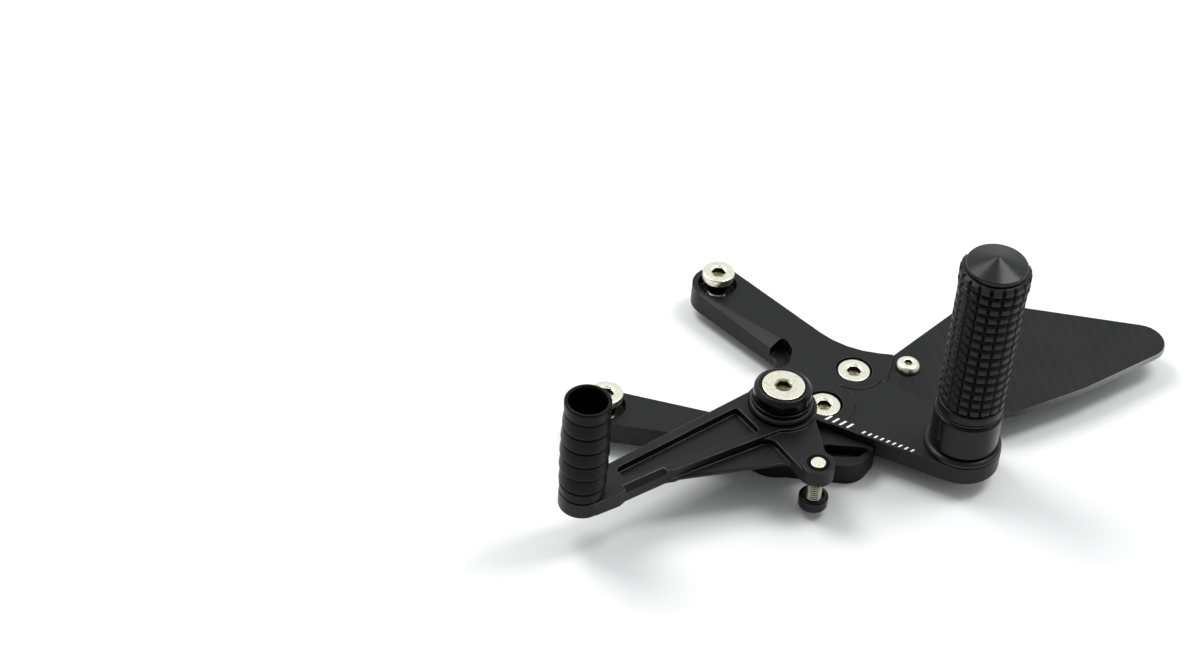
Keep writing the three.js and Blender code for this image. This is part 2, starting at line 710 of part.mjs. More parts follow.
function pegBolt() {
  const body = turned([
    [0, 0],
    [PEG_BOLT_HEAD_RADIUS - 0.6, 0],
    [PEG_BOLT_HEAD_RADIUS, 0.6],
    [PEG_BOLT_HEAD_RADIUS, PEG_BOLT_HEAD_TOP],
    [M8, PEG_BOLT_HEAD_TOP],
    [M8, PEG_BOLT_END - 0.8],
    [M8 - 0.8, PEG_BOLT_END],
    [0, PEG_BOLT_END],
  ], PEG);
  return body.subtract(hexPocket(PEG, HEX_M8, -1, 3));
}

function pegWasher() {
  return ring(PEG, M8_HOLE, PEG_WASHER_RADIUS, PEG_BOLT_HEAD_TOP + CLEARANCE, CARRIER_BOTTOM - CLEARANCE);
}

// ---------- assembly ----------
add('fork_bracket', forkBracket(), ANODISED);
add('peg_carrier', pegCarrier(), ANODISED);
add('carrier_bolt_upper', carrierBolt(CARRIER_BOLT_UPPER), STAINLESS);
add('carrier_bolt_lower', carrierBolt(CARRIER_BOLT_LOWER), STAINLESS);
add('mount_bolt_upper', mountBolt(MOUNT_UPPER), STAINLESS);
add('mount_bolt_lower', mountBolt(MOUNT_LOWER), STAINLESS);

add('heel_guard', heelGuard(), CARBON);
add('guard_screw_front', guardScrew(GUARD_SCREW_FRONT), STAINLESS);
add('guard_screw_rear', guardScrew(GUARD_SCREW_REAR), STAINLESS);

add('pivot_screw', pivotScrew(), STAINLESS);
add('pivot_cap', pivotCap(), ANODISED);
add('pivot_sleeve', pivotSleeve(), STEEL);
add('pivot_thrust_washer', ring(PIVOT, RACE_BORE, THRUST_WASHER_RADIUS, ...THRUST_WASHER), ANODISED);
add('pivot_seal_upper', ring(PIVOT, RACE_BORE, UPPER_SEAL_RADIUS, ...UPPER_SEAL), RUBBER);
add('pivot_seal_lower', lowerSeal(), RUBBER);

add('shift_lever', shiftLever(), ANODISED);
add('lever_bearing_upper', leverBearing(UPPER_BEARING), STEEL);
add('lever_bearing_lower', leverBearing(LOWER_BEARING), STEEL);
add('toe_peg', toePeg(), ANODISED);
add('toe_peg_screw', toePegScrew(), STAINLESS);
add('linkage_stud', linkageStud(), STAINLESS);
add('linkage_collar', linkageCollar(), ANODISED);

add('peg_base_ring', pegRing(), ANODISED);
add('peg_collar', pegCollar(), ANODISED);
add('peg_o_ring', pegORing(), RUBBER);
add('peg_grip_sleeve', pegSleeve(), KNURLED);
add('peg_head_ring', pegHeadRing(), KNURLED);
add('peg_end_cap', pegEndCap(), ANODISED);
add('peg_spindle', pegSpindle(), STEEL);
add('peg_bolt', pegBolt(), STAINLESS);
add('peg_washer', pegWasher(), STAINLESS);

export default group;
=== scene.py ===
"""Looks of a motorcycle rearset foot peg assembly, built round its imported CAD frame.

Lengths in this script are millimetres in the frame of the part. place() turns them into metres.
"""

import json
import math
import random

import bmesh
import bpy
from mathutils import Matrix, Vector


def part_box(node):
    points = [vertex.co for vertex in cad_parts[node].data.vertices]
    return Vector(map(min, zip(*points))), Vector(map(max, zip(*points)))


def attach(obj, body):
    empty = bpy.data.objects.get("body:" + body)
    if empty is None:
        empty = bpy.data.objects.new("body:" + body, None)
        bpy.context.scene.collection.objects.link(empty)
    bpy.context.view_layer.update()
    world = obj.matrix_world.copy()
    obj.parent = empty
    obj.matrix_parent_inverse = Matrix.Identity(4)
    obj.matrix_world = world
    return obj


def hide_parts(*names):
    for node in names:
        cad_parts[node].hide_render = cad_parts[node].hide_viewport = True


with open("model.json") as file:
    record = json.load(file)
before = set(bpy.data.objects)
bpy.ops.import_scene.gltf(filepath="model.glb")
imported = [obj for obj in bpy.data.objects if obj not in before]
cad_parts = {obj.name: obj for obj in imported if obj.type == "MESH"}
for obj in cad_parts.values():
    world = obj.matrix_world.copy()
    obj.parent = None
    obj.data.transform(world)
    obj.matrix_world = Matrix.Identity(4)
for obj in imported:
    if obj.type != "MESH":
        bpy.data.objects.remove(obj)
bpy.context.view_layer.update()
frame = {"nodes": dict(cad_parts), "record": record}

MM = 0.001
TURN = 2 * math.pi
FINE = 120                            # facets round a turned piece, a multiple of 6 for the hexagons
SHARP_ANGLE = math.radians(40)        # edges over this are shaded sharp
BEVEL_ANGLE = math.radians(37)        # edges over this get a small round
CORNER_ANGLE = math.radians(60)       # upright edges have to be over this to get one
MERGE_DISTANCE = 0.1                  # points of a CAD solid nearer than this are joined
FLAT_ANGLE = math.radians(0.5)        # edges under this are dissolved
SLOTS = {row["node"]: row["material_slot"] for row in frame["record"]["subparts"]}
BODIES = {
    node: body
    for body, nodes in frame["record"]["behaviour"]["bodies"].items()
    for node in nodes
}


# ---------- places taken from the frame ----------
def low(node):
    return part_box(node)[0] / MM


def high(node):
    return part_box(node)[1] / MM


def span(node):
    """Heights of a node's bottom and top."""
    return low(node).z, high(node).z


def axis_of(node):
    """Plan position of an upright turned node's axis."""
    middle = (low(node) + high(node)) / 2
    return middle.x, middle.y


def radius_of(node):
    return (high(node).x - low(node).x) / 2


PEG = axis_of("peg_collar")
PIVOT = axis_of("pivot_cap")
TOE = axis_of("toe_peg")
EYE = axis_of("linkage_stud")


# ---------- materials ----------
BLACK_SHINE = 0.24         # specular level of the black finishes, a little under that of plastic


class Shader:
    """A node material with its Principled shader, and short calls for adding nodes."""

    def __init__(self, name, color, roughness, metallic):
        self.material = bpy.data.materials.new(name)
        self.material.use_nodes = True
        self.material.diffuse_color = (*color, 1)
        self.tree = self.material.node_tree
        self.main = self.tree.nodes["Principled BSDF"]
        self.main.inputs["Base Color"].default_value = (*color, 1)
        self.main.inputs["Roughness"].default_value = roughness
        self.main.inputs["Metallic"].default_value = metallic

    def node(self, kind, **settings):
        made = self.tree.nodes.new(kind)
        for key, value in settings.items():
            setattr(made, key, value)
        return made

    def link(self, source, target):
        self.tree.links.new(source, target)

    def coordinates(self, kind="Object", stretch=(1, 1, 1), turn=0.0):
        source = self.node("ShaderNodeTexCoord")
        mapping = self.node("ShaderNodeMapping")
        mapping.inputs["Scale"].default_value = stretch
        mapping.inputs["Rotation"].default_value = (0, 0, turn)
        self.link(source.outputs[kind], mapping.inputs["Vector"])
        return mapping.outputs["Vector"]

    def noise(self, vector, size, detail=3.0, rough=0.5):
        """Noise with blotches of about the given size in millimetres."""
        made = self.node("ShaderNodeTexNoise")
        made.inputs["Scale"].default_value = 1 / (size * MM)
        made.inputs["Detail"].default_value = detail
        made.inputs["Roughness"].default_value = rough
        self.link(vector, made.inputs["Vector"])
        return made.outputs["Fac"]

    def spread(self, value, low_value, high_value, low_in=0.3, high_in=0.7):
        made = self.node("ShaderNodeMapRange")
        made.inputs["From Min"].default_value = low_in
        made.inputs["From Max"].default_value = high_in
        made.inputs["To Min"].default_value = low_value
        made.inputs["To Max"].default_value = high_value
        self.link(value, made.inputs["Value"])
        return made.outputs["Result"]

    def math(self, operation, first, second):
        made = self.node("ShaderNodeMath", operation=operation)
        for socket, value in zip(made.inputs, (first, second)):
            if isinstance(value, (int, float)):
                socket.default_value = value
            else:
                self.link(value, socket)
        return made.outputs[0]

    def tint(self, value, dark, light):
        """Base colour that runs from dark to light with a value."""
        made = self.node("ShaderNodeMix", data_type="RGBA")
        made.inputs["A"].default_value = (*dark, 1)
        made.inputs["B"].default_value = (*light, 1)
        self.link(value, made.inputs["Factor"])
        self.link(made.outputs["Result"], self.main.inputs["Base Color"])

    def bump(self, height, depth, strength=1.0):
        """Bump of the given depth in millimetres."""
        made = self.node("ShaderNodeBump")
        made.inputs["Strength"].default_value = strength
        made.inputs["Distance"].default_value = depth * MM
        self.link(height, made.inputs["Height"])
        self.link(made.outputs["Normal"], self.main.inputs["Normal"])

    def rings(self, count):
        """Sawn rings round the middle of the piece, such as a lathe leaves."""
        source = self.node("ShaderNodeTexCoord")
        centred = self.node("ShaderNodeVectorMath", operation="MULTIPLY_ADD")
        centred.inputs[1].default_value = (1, 1, 0)
        centred.inputs[2].default_value = (-0.5, -0.5, 0)
        self.link(source.outputs["Generated"], centred.inputs[0])
        length = self.node("ShaderNodeVectorMath", operation="LENGTH")
        self.link(centred.outputs["Vector"], length.inputs[0])
        wave = self.math("SINE", self.math("MULTIPLY", length.outputs["Value"], count * TURN), 0)
        return self.math("MULTIPLY_ADD", wave, 0.5)


def anodised(name, shade, roughness, shine=BLACK_SHINE, milled=False):
    """Satin black anodising over milled aluminium, with a bead-blasted grain and faint rub marks."""
    s = Shader(name, (shade, shade, shade * 1.03), roughness, 0)
    s.main.inputs["Specular IOR Level"].default_value = shine
    place_vector = s.coordinates()
    cloud = s.noise(place_vector, 22, 2)
    grain = s.noise(place_vector, 0.35, 2, 0.6)
    dark = (shade * 0.86, shade * 0.87, shade * 0.9)
    light = (shade * 1.14, shade * 1.13, shade * 1.12)
    s.tint(s.spread(cloud, 0, 1), dark, light)
    rub = s.noise(s.coordinates(stretch=(1, 14, 14), turn=0.6), 9, 4, 0.7)
    worn = s.spread(rub, 0, 1, 0.58, 0.8)
    fine = s.spread(grain, -0.05, 0.05)
    satin = s.math("ADD", s.spread(cloud, roughness - 0.05, roughness + 0.05), fine)
    rough = s.math("ADD", satin, s.math("MULTIPLY", worn, -0.06))
    s.link(rough, s.main.inputs["Roughness"])
    height = grain
    if milled:
        passes = s.noise(s.coordinates(stretch=(1, 30, 1), turn=-0.75), 14, 2, 0.5)
        height = s.math("ADD", s.math("MULTIPLY", grain, 0.7), s.math("MULTIPLY", passes, 0.5))
    s.bump(height, 0.018, 0.5)
    return s.material


def chamfer_wear_highlight(name):
    """Edges rubbed brighter where the anodising is thin, partly real wear and partly a painted
    highlight, which also lines the hollow edges.
    """
    s = Shader(name, (0.02, 0.02, 0.02), 0.3, 0.5)
    rub = s.noise(s.coordinates(), 9, 4, 0.6)
    # Painted highlight: the rounds run lighter than the black faces, more than wear alone would make
    # them.
    s.tint(s.spread(rub, 0, 1, 0.4, 0.7), (0.009, 0.009, 0.009), (0.04, 0.04, 0.039))
    s.link(s.spread(rub, 0.28, 0.4), s.main.inputs["Roughness"])
    s.bump(s.noise(s.coordinates(), 0.4, 2), 0.01, 0.4)
    return s.material


def turned_black(name, shade, roughness, count):
    """Black anodising over lathe marks, which stretch the highlight across the marks."""
    s = Shader(name, (shade, shade, shade * 1.02), roughness, 0)
    s.main.inputs["Specular IOR Level"].default_value = 1.4 * BLACK_SHINE
    s.main.inputs["Anisotropic"].default_value = 0.75
    s.main.inputs["Anisotropic Rotation"].default_value = 0.25
    tangent = s.node("ShaderNodeTangent", direction_type="RADIAL", axis="Z")
    s.link(tangent.outputs["Tangent"], s.main.inputs["Tangent"])
    cloud = s.noise(s.coordinates(), 6, 3)
    s.link(s.spread(cloud, roughness - 0.04, roughness + 0.06), s.main.inputs["Roughness"])
    s.tint(s.spread(cloud, 0, 1), (shade * 0.85,) * 3, (shade * 1.2,) * 3)
    marks = s.math("MULTIPLY", s.rings(count), 0.5)
    grain = s.noise(s.coordinates(), 0.3, 2)
    s.bump(s.math("ADD", marks, grain), 0.008, 0.35)
    return s.material


def knurled_black(name):
    """Matte black of the cut teeth, its tone and gloss varying in blotches."""
    s = Shader(name, (0.008, 0.008, 0.008), 0.5, 0)
    s.main.inputs["Specular IOR Level"].default_value = 0.85 * BLACK_SHINE
    cloud = s.noise(s.coordinates(), 5, 3)
    s.tint(s.spread(cloud, 0, 1), (0.003, 0.003, 0.0031), (0.007, 0.007, 0.007))
    s.link(s.spread(cloud, 0.34, 0.46), s.main.inputs["Roughness"])
    s.bump(s.noise(s.coordinates(), 0.25, 3, 0.6), 0.03, 0.6)
    return s.material


def stainless(name, count=0, roughness=0.24):
    """Warm bright stainless steel with lathe rings, handling marks and fine scratches."""
    s = Shader(name, (0.72, 0.72, 0.6), roughness, 1.0)
    blotch = s.noise(s.coordinates(), 1.3, 5, 0.7)
    stain = s.spread(blotch, 0, 1, 0.5, 0.74)
    s.tint(stain, (0.77, 0.78, 0.65), (0.45, 0.42, 0.29))
    scratch = s.noise(s.coordinates(stretch=(1, 26, 6), turn=0.9), 2.2, 3, 0.6)
    scratched = s.spread(scratch, roughness - 0.05, roughness + 0.07)
    rough = s.math("ADD", s.math("MULTIPLY", stain, 0.14), scratched)
    s.link(rough, s.main.inputs["Roughness"])
    height = scratch
    if count:
        height = s.math("ADD", s.math("MULTIPLY", s.rings(count), 0.6), scratch)
    s.bump(height, 0.006, 0.45)
    return s.material


def steel_painted_shade(name):
    """Steel painted dark as shade for the inside of a hexagon socket and a thread's grooves, with a
    broach's drag lines down its walls.
    """
    s = Shader(name, (0.3, 0.27, 0.2), 0.4, 1.0)
    drag = s.noise(s.coordinates(stretch=(8, 8, 1)), 1.2, 2)
    # Painted shade: far darker than the steel outside, for the shade in the hollow.
    s.tint(s.spread(drag, 0, 1), (0.09, 0.075, 0.045), (0.2, 0.17, 0.11))
    s.bump(drag, 0.03, 0.5)
    return s.material


def ground_steel(name):
    """Plain ground steel of the bearings, sleeve and spindle."""
    s = Shader(name, (0.42, 0.43, 0.44), 0.3, 1.0)
    wear = s.noise(s.coordinates(stretch=(3, 3, 1)), 2.5, 4, 0.6)
    s.tint(s.spread(wear, 0, 1), (0.34, 0.35, 0.36), (0.5, 0.5, 0.5))
    s.link(s.spread(wear, 0.22, 0.4), s.main.inputs["Roughness"])
    s.bump(wear, 0.008, 0.4)
    return s.material


def bare_alloy(name):
    """Bright aluminium where the marks are cut through the black."""
    s = Shader(name, (0.95, 0.95, 0.96), 0.32, 0.85)
    cut = s.noise(s.coordinates(stretch=(1, 9, 1), turn=0.4), 1.1, 3)
    s.tint(s.spread(cut, 0, 1), (0.78, 0.78, 0.8), (1.0, 1.0, 1.0))
    s.link(s.spread(cut, 0.24, 0.44), s.main.inputs["Roughness"])
    s.bump(cut, 0.02, 0.5)
    return s.material


def rubber(name):
    """Matte black rubber of the seals and the O-ring."""
    s = Shader(name, (0.012, 0.012, 0.0125), 0.62, 0.0)
    grain = s.noise(s.coordinates(), 0.6, 4, 0.65)
    s.tint(s.spread(grain, 0, 1), (0.009, 0.009, 0.0095), (0.018, 0.018, 0.018))
    s.link(s.spread(grain, 0.52, 0.72), s.main.inputs["Roughness"])
    s.bump(grain, 0.03, 0.6)
    return s.material


def twill(name):
    """Matte composite plate with a fine twill, two over two."""
    pitch = 1.7
    s = Shader(name, (0.008, 0.008, 0.0085), 0.4, 0.0)
    s.main.inputs["Specular IOR Level"].default_value = 0.75 * BLACK_SHINE
    source = s.node("ShaderNodeTexCoord")
    split = s.node("ShaderNodeSeparateXYZ")
    turned = s.node("ShaderNodeMapping")
    turned.inputs["Rotation"].default_value = (0, 0, math.radians(32))
    turned.inputs["Scale"].default_value = (1 / (pitch * MM),) * 3
    s.link(source.outputs["Object"], turned.inputs["Vector"])
    s.link(turned.outputs["Vector"], split.inputs["Vector"])
    across = split.outputs["X"]
    along = split.outputs["Y"]
    tow_across = s.math("FRACT", across, 0)
    tow_along = s.math("FRACT", along, 0)
    column = s.math("FLOOR", across, 0)
    row = s.math("FLOOR", along, 0)
    phase = s.math("FLOORED_MODULO", s.math("ADD", column, row), 4)
    over = s.math("LESS_THAN", phase, 1.5)
    dome_across = s.math("SINE", s.math("MULTIPLY", tow_across, math.pi), 0)
    dome_along = s.math("SINE", s.math("MULTIPLY", tow_along, math.pi), 0)
    crown = s.node("ShaderNodeMix", data_type="FLOAT")
    s.link(over, crown.inputs["Factor"])
    s.link(dome_across, crown.inputs["A"])
    s.link(dome_along, crown.inputs["B"])
    shade = s.node("ShaderNodeMix", data_type="FLOAT")
    shade.inputs["A"].default_value = 0.25
    shade.inputs["B"].default_value = 0.75
    s.link(over, shade.inputs["Factor"])
    cloud = s.noise(s.coordinates(), 18, 3)
    blend = s.math("ADD", s.math("MULTIPLY", shade.outputs["Result"], 0.5), s.spread(cloud, 0.1, 0.5))
    s.tint(blend, (0.004, 0.004, 0.0045), (0.012, 0.012, 0.0125))
    s.link(s.spread(cloud, 0.36, 0.46), s.main.inputs["Roughness"])
    s.bump(crown.outputs["Result"], 0.03, 0.25)
    return s.material


def cut_edge(name):
    """Sawn grey edge of the composite plate, with painted shade that darkens it towards the peg and
    leaves it pale towards its far end.
    """
    s = Shader(name, (0.1, 0.1, 0.1), 0.6, 0.0)
    source = s.node("ShaderNodeTexCoord")
    split = s.node("ShaderNodeSeparateXYZ")
    s.link(source.outputs["Object"], split.inputs["Vector"])
    # Painted shade: the edge's tone runs from near-black by the peg to grey at the far end.
    along = s.spread(split.outputs["X"], 0, 1, 0.09, 0.145)
    layers = s.noise(s.coordinates(stretch=(1, 1, 12)), 2.5, 3)
    shade = s.math("MULTIPLY", along, s.spread(layers, 0.8, 1.2))
    s.tint(shade, (0.012, 0.012, 0.012), (0.3, 0.3, 0.3))
    s.bump(layers, 0.05, 0.5)
    return s.material


def pale_floor(name):
    """White paper, very slightly uneven."""
    s = Shader(name, (0.8, 0.8, 0.8), 0.7, 0.0)
    s.main.inputs["Specular IOR Level"].default_value = 0.2
    tone = s.noise(s.coordinates(), 300, 2)
    s.tint(s.spread(tone, 0, 1), (0.795, 0.795, 0.795), (0.805, 0.805, 0.805))
    return s.material


BLACK = anodised("black_anodised", 0.0035, 0.4, milled=True)
BLACK_SMOOTH = anodised("black_anodised_turned", 0.002, 0.27)
BLACK_DULL = anodised("black_anodised_dull", 0.002, 0.36, shine=0.5 * BLACK_SHINE)
# Near-black with little shine, for the painted shadow round the linkage stud.
BLACK_PAINTED_SHADOW = anodised("black_painted_shadow", 0.001, 0.36, shine=0.2 * BLACK_SHINE)
WORN_EDGE_HIGHLIGHT = chamfer_wear_highlight("rubbed_edge_painted_highlight")
CONE = turned_black("turned_cap", 0.004, 0.3, 22)
KNURL = knurled_black("knurled_black")
STEEL_HEAD = stainless("stainless_head", 14)
STEEL_THREAD = stainless("stainless_thread", 0, 0.3)
PAINTED_SHADE_STEEL = steel_painted_shade("steel_painted_shade")
GROUND = ground_steel("ground_steel")
ALLOY = bare_alloy("bare_alloy")
RUBBER = rubber("seal_rubber")
TWILL = twill("guard_twill")
CUT_EDGE = cut_edge("guard_cut_edge_painted_shade")


# ---------- mesh helpers ----------
def place(bm, name, materials, node=None, body=None, slot=None):
    """Makes a piece of the mesh. It stands for a CAD node, or rides on a body as an extra."""
    bmesh.ops.recalc_face_normals(bm, faces=bm.faces)
    bmesh.ops.scale(bm, vec=(MM, MM, MM), verts=bm.verts)
    mesh = bpy.data.meshes.new(name)
    bm.to_mesh(mesh)
    bm.free()
    for material in materials:
        mesh.materials.append(material)
    mesh.polygons.foreach_set("use_smooth", [True] * len(mesh.polygons))
    mesh.set_sharp_from_angle(angle=SHARP_ANGLE)
    piece = bpy.data.objects.new(name, mesh)
    bpy.context.scene.collection.objects.link(piece)
    weigh = piece.modifiers.new("weigh", "WEIGHTED_NORMAL")
    weigh.keep_sharp = True
    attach(piece, body or BODIES[node])
    slot or SLOTS[node]
    if node:
        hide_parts(node)
    return piece


def bevel_limit(edge):
    """Upright edges between two walls stay plain unless they are true corners."""
    along = edge.verts[1].co - edge.verts[0].co
    upright = abs(along.z) > 0.99 * along.length
    return CORNER_ANGLE if upright else BEVEL_ANGLE


def machined(node, name, chamfer, material, edge=WORN_EDGE_HIGHLIGHT, side=None, reshape=None):
    """The CAD solid of a node, facets merged and every sharp edge broken by a small round.

    The walls can have their own material. A reshape function works on the mesh, in millimetres,
    before its edges are broken.
    """
    bm = bmesh.new()
    bm.from_mesh(frame["nodes"][node].data)
    bmesh.ops.scale(bm, vec=(1 / MM,) * 3, verts=bm.verts)
    bmesh.ops.remove_doubles(bm, verts=bm.verts, dist=MERGE_DISTANCE)
    bmesh.ops.dissolve_limit(bm, angle_limit=FLAT_ANGLE, verts=bm.verts, edges=bm.edges)
    if reshape:
        reshape(bm)
    sharp = [e for e in bm.edges if len(e.link_faces) == 2 and e.calc_face_angle(0) > bevel_limit(e)]
    # The rounds get material 1, the edge material with its painted highlight, on hollow edges too.
    bmesh.ops.bevel(
        bm, geom=sharp, offset=chamfer, offset_type="OFFSET", segments=2,
        profile=0.5, affect="EDGES", material=1, clamp_overlap=False,
    )
    if side:
        for face in bm.faces:
            face.normal_update()
            if abs(face.normal.z) < 0.3 and face.material_index == 0:
                face.material_index = 2
    return place(bm, name, [material, edge, side or material], node)


def ring(axis, radius, height, steps=FINE):
    """Closed loop of points. The radius is a number or a function of the angle."""
    points = []
    for k in range(steps):
        angle = TURN * k / steps
        r = radius(angle) if callable(radius) else radius
        points.append((axis[0] + r * math.cos(angle), axis[1] + r * math.sin(angle), height))
    return points


def hexagon(across_flats):
    """Radius of a hexagon as a function of the angle, with a corner at angle 0."""
    def radius(angle):
        return across_flats / 2 / math.cos(angle % (TURN / 6) - TURN / 12)
    return radius


def loft(rings, closed=False, paint=lambda k: 0):
    """Skin over rings of equal count. Open lofts get flat ends; paint gives each band its material."""
    bm = bmesh.new()
    loops = [[bm.verts.new(point) for point in points] for points in rings]
    count = len(rings[0])
    bands = list(zip(loops, loops[1:]))
    if closed:
        bands.append((loops[-1], loops[0]))
    for k, (first, second) in enumerate(bands):
        for i in range(count):
            j = (i + 1) % count
            face = bm.faces.new((first[i], first[j], second[j], second[i]))
            face.material_index = paint(k)
    if not closed:
        bm.faces.new(list(reversed(loops[0]))).material_index = paint(0)
        bm.faces.new(loops[-1]).material_index = paint(len(bands) - 1)
    return bm


def soften(profile, radius, closed=False, steps=3):
    """The profile with each corner turned into a small curve."""
    count = len(profile)
    softened = []
    for k, (r, z) in enumerate(profile):
        if not closed and k in (0, count - 1):
            softened.append((r, z))
            continue
        here = Vector((r, z))
        back = Vector(profile[k - 1]) - here
        ahead = Vector(profile[(k + 1) % count]) - here
        reach = min(radius, 0.45 * back.length, 0.45 * ahead.length)
        first = here + back.normalized() * reach
        last = here + ahead.normalized() * reach
        for step in range(steps + 1):
            t = step / steps
            point = first * (1 - t) ** 2 + here * 2 * t * (1 - t) + last * t ** 2
            softened.append((point.x, point.y))
    return softened


def turned(profile, axis, radius=0.25, closed=True):
    """Piece turned about an upright axis; the profile is rows of radius and height."""
    rows = soften(profile, radius, closed)
    return loft([ring(axis, r, z) for r, z in rows], closed)


def plain_ring(node, axis, bore, soft, material, finish="turned"):
    """Ring of rectangular section with softened edges, as tall and as wide as its node."""
    bottom, top = span(node)
    outer = radius_of(node)
    bm = turned([(bore, bottom), (outer, bottom), (outer, top), (bore, top)], axis, soft)
    place(bm, node + "_" + finish, [material], node)


def thread(radius, pitch, bottom, top, fade=0.8):
    """Radius functions and heights of a right-hand thread, faded out at both ends."""
    depth = 0.61 * pitch
    rows = []
    count = round((top - bottom) / (pitch / 8))
    for k in range(count + 1):
        z = bottom + (top - bottom) * k / count
        share = min(1, (z - bottom) / fade, (top - z) / fade)

        def crest(angle, z=z, share=share):
            place_on_turn = (z / pitch - angle / TURN) % 1
            groove = max(0, 1 - abs(place_on_turn - 0.5) / 0.42)
            return radius - depth * groove * share
        rows.append((crest, z))
    return rows


# ---------- bracket, carrier, lever and guard ----------
LOBE_RADIUS = 11.5         # rounded lobe of the bracket round the lower carrier bolt
SEAM_GAIN = 0.2            # how much wider that lobe gets here
ON_LOBE = 0.05             # how near to that radius its points are
STRAY_CORNER = 0.45        # the short arm's corners are nearer than this to the round walls


def narrow_lower_seam(bm):
    """Widens the lobe round the lower carrier bolt until its seam with the carrier is a hairline."""
    axis = Vector(axis_of("carrier_bolt_lower"))
    for vert in bm.verts:
        out = vert.co.xy - axis
        if abs(out.length - LOBE_RADIUS) < ON_LOBE:
            vert.co.xy = axis + out * (1 + SEAM_GAIN / LOBE_RADIUS)


def tuck_arm_corners(bm):
    """Merges the short arm's corners, a hair outside the eye and the boss, into their round walls."""
    arm = [v for v in bm.verts if v.co.x > PIVOT[0] + 5 and v.co.y < PIVOT[1] - 4]
    bmesh.ops.remove_doubles(bm, verts=arm, dist=STRAY_CORNER)


def milled_plates():
    machined("fork_bracket", "fork_bracket_milled", 0.2, BLACK, reshape=narrow_lower_seam)
    machined("peg_carrier", "peg_carrier_milled", 0.25, BLACK)
    machined("shift_lever", "shift_lever_milled", 0.3, BLACK, reshape=tuck_arm_corners)
    machined("heel_guard", "heel_guard_plate", 0.3, TWILL, edge=CUT_EDGE, side=CUT_EDGE)


MARKS_START = Vector((16.8, 4.3))
MARKS_END = Vector((52.5, -11.3))
MARK_ROWS = [                       # start along the edge, count, pitch, height, width
    (0.5, 4, 2.9, 3.0, 0.9),
    (15.5, 9, 2.45, 1.6, 0.75),
]
MARK_LEAN = 0.45                    # sideways for each unit of height
MARK_RELIEF = 0.05


def edge_marks():
    """Two rows of plain slanted ticks cut through the black along the carrier's front edge."""
    top = high("peg_carrier").z
    along = (MARKS_END - MARKS_START).normalized()
    across = Vector((-along.y, along.x))
    bm = bmesh.new()
    for first, count, pitch, tall, wide in MARK_ROWS:
        for k in range(count):
            base = MARKS_START + along * (first + pitch * k)
            lean = along * tall * MARK_LEAN
            corners = [
                base,
                base + along * wide,
                base + along * wide + lean + across * tall,
                base + lean + across * tall,
            ]
            lower = [bm.verts.new((c.x, c.y, top - MARK_RELIEF)) for c in corners]
            upper = [bm.verts.new((c.x, c.y, top + MARK_RELIEF)) for c in corners]
            bm.faces.new(list(reversed(lower)))
            bm.faces.new(upper)
            for i in range(4):
                j = (i + 1) % 4
                bm.faces.new((lower[i], lower[j], upper[j], upper[i]))
    place(bm, "carrier_edge_marks", [ALLOY], body=BODIES["peg_carrier"], slot="steel")


# ---------- screws ----------
M8_RADIUS = 4
M8_PITCH = 1.25
M8_SOCKET = 5              # across the flats
M8_SOCKET_DEPTH = 2.7
POINT = 0.05               # radius where a socket's bottom comes to a point
HEAD_HEIGHTS = {
    "carrier_bolt_upper": 3.9,
    "carrier_bolt_lower": 3.9,
    "mount_bolt_upper": 3.4,
    "mount_bolt_lower": 3.4,
}
MOUNT_SHOULDER = (5.3, 15.8)        # radius, and height of its lower face
MOUNT_THREAD_TOP = 12


def socket_screw(node, threaded_to, shoulder=None):
    """M8 screw standing point down: threaded shank, plain neck, round head with a hexagon socket.

    A shoulder is a radius and a height under the head, left black.
    """
    axis = axis_of(node)
    bottom, top = span(node)
    head = radius_of(node)
    under_head = top - HEAD_HEIGHTS[node]
    rings = [ring(axis, M8_RADIUS - 0.7, bottom), ring(axis, M8_RADIUS - 0.35, bottom + 0.25)]
    rings += [ring(axis, r, z) for r, z in thread(M8_RADIUS, M8_PITCH, bottom + 0.5, threaded_to)]
    first_shoulder = len(rings)
    neck = M8_RADIUS
    if shoulder:
        neck, z = shoulder
        rings += [ring(axis, M8_RADIUS, z - 0.02), ring(axis, neck - 0.3, z), ring(axis, neck, z + 0.3)]
        rings.append(ring(axis, neck, under_head - 0.02))
    last_shoulder = len(rings)
    corner = M8_SOCKET / math.sqrt(3)
    profile = [
        (neck, under_head - 0.01), (head, under_head), (head, top),
        (corner + 0.5, top), (corner + 0.1, top - 0.35),
    ]
    rings += [ring(axis, r, z) for r, z in soften(profile, 0.6)]
    first_socket = len(rings)
    floor = top - M8_SOCKET_DEPTH
    rings.append(ring(axis, hexagon(M8_SOCKET), top - 0.45))
    rings.append(ring(axis, hexagon(M8_SOCKET), floor))
    rings.append(ring(axis, 0.35 * M8_SOCKET, floor - 0.5))
    rings.append(ring(axis, POINT, floor - 0.7))

    # Socket bands take the steel painted dark as shade, the shoulder's bands the black.
    def paint(band):
        if band >= first_socket:
            return 1
        return 2 if first_shoulder - 1 <= band < last_shoulder else 0
    place(loft(rings, paint=paint), node + "_turned", [STEEL_HEAD, PAINTED_SHADE_STEEL, BLACK_SMOOTH], node)


